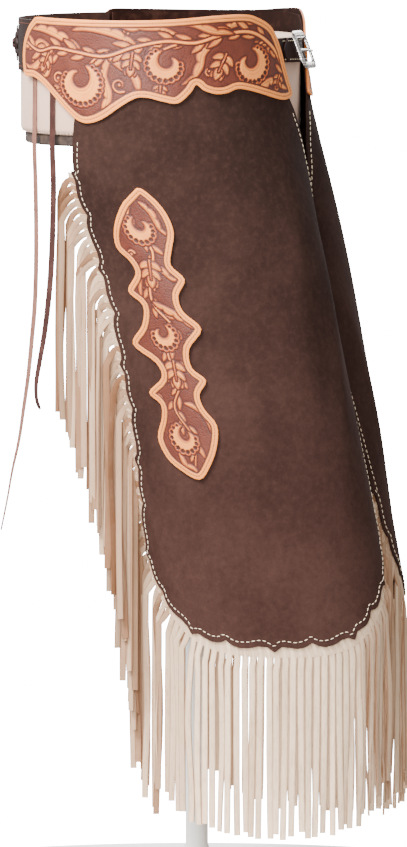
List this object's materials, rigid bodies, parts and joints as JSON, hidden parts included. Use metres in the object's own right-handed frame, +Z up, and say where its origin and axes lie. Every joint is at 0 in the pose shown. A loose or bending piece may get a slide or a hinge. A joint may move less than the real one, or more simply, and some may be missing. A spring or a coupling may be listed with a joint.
{
  "type": "leather chaps on a limbless hip form",
  "caption": "Short fringed western chaps in dark suede with tooled leather yokes, buckled round a limbless hip form on a stand.",
  "frame": {"origin": "middle of the stand foot's underside", "axes": "+Z up, the wearer faces -Y, the right leg is at -X"},
  "size_m": [0.3748, 0.4177, 0.915],
  "materials": {
    "suede": "dark brown roughout suede, dry and napped",
    "tooled_leather": "tooled vegetable-tanned leather, pale relief on a stained ground",
    "fringe_suede": "pale soft suede cut in strands",
    "dark_leather": "dark brown smooth leather, low sheen",
    "lace_leather": "rose-brown latigo lace",
    "lace_dark": "dark red-brown latigo lace",
    "silver": "engraved white metal",
    "form_cloth": "beige display cloth",
    "form_base": "dark stained underside plate",
    "stand_paint": "satin off-white powder coat"
  },
  "bodies": {
    "root": {"hip_form": "form_cloth", "form_plate": "form_base", "stand_foot": "stand_paint", "stand_pole": "stand_paint", "right_leg_panel": "suede", "left_leg_panel": "suede", "right_yoke": "tooled_leather", "left_yoke": "tooled_leather", "right_overlay": "tooled_leather", "left_overlay": "tooled_leather", "right_back_band": "dark_leather", "left_back_band": "dark_leather", "right_fringe": "fringe_suede", "left_fringe": "fringe_suede", "right_rosette": "dark_leather", "left_rosette": "dark_leather", "strap_buckle_end": "dark_leather", "strap_tip_end": "dark_leather", "buckle_frame": "silver", "buckle_tongue": "silver", "lace_outer": "lace_leather", "lace_inner": "lace_dark"}
  },
  "joints": []
}
